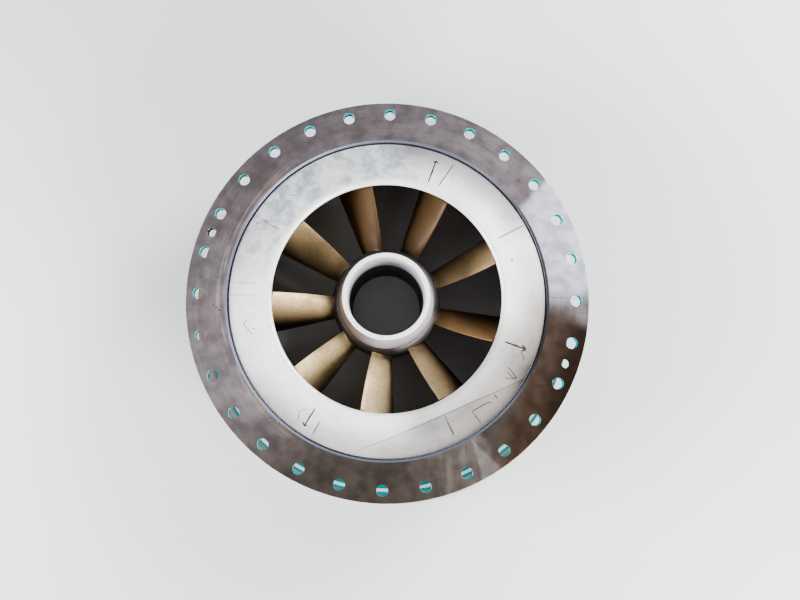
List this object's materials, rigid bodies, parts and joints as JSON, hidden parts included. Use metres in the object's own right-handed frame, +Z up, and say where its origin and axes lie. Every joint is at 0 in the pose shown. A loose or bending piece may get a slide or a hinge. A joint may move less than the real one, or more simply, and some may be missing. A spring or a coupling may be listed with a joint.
{
  "type": "axial turbine guide vane ring",
  "caption": "Round turbine guide vane ring: drilled bolting flange, bright throat ring, flared ribbed casing, twisted bronze vanes and an open hub.",
  "frame": {"origin": "centre of the foot flange's underside, on the turbine's axis", "axes": "+Z up along the turbine's axis, from the foot flange to the bolting flange; +X to the right in the view from above"},
  "size_m": [1.062, 1.062, 0.303],
  "materials": {
    "flange_steel": "machined, stained",
    "bright_steel": "fine machined satin",
    "teal_paint": "semi-gloss paint",
    "dark_steel": "dark, dull",
    "bronze": "satin as machined"
  },
  "bodies": {
    "root": {"bolting_flange": "flange_steel", "throat_ring": "bright_steel", "casing_cone": "teal_paint", "foot_flange": "teal_paint", "hub_collar": "bright_steel", "hub_drum": "dark_steel", "hub_base_ring": "dark_steel", "gusset_rib_1": "teal_paint", "gusset_rib_2": "teal_paint", "gusset_rib_3": "teal_paint", "gusset_rib_4": "teal_paint", "gusset_rib_5": "teal_paint", "gusset_rib_6": "teal_paint", "gusset_rib_7": "teal_paint", "gusset_rib_8": "teal_paint", "gusset_rib_9": "teal_paint", "gusset_rib_10": "teal_paint", "gusset_rib_11": "teal_paint", "gusset_rib_12": "teal_paint", "gusset_rib_13": "teal_paint", "gusset_rib_14": "teal_paint", "vane_1": "bronze", "vane_2": "bronze", "vane_3": "bronze", "vane_4": "bronze", "vane_5": "bronze", "vane_6": "bronze", "vane_7": "bronze", "vane_8": "bronze", "vane_9": "bronze"}
  },
  "joints": []
}
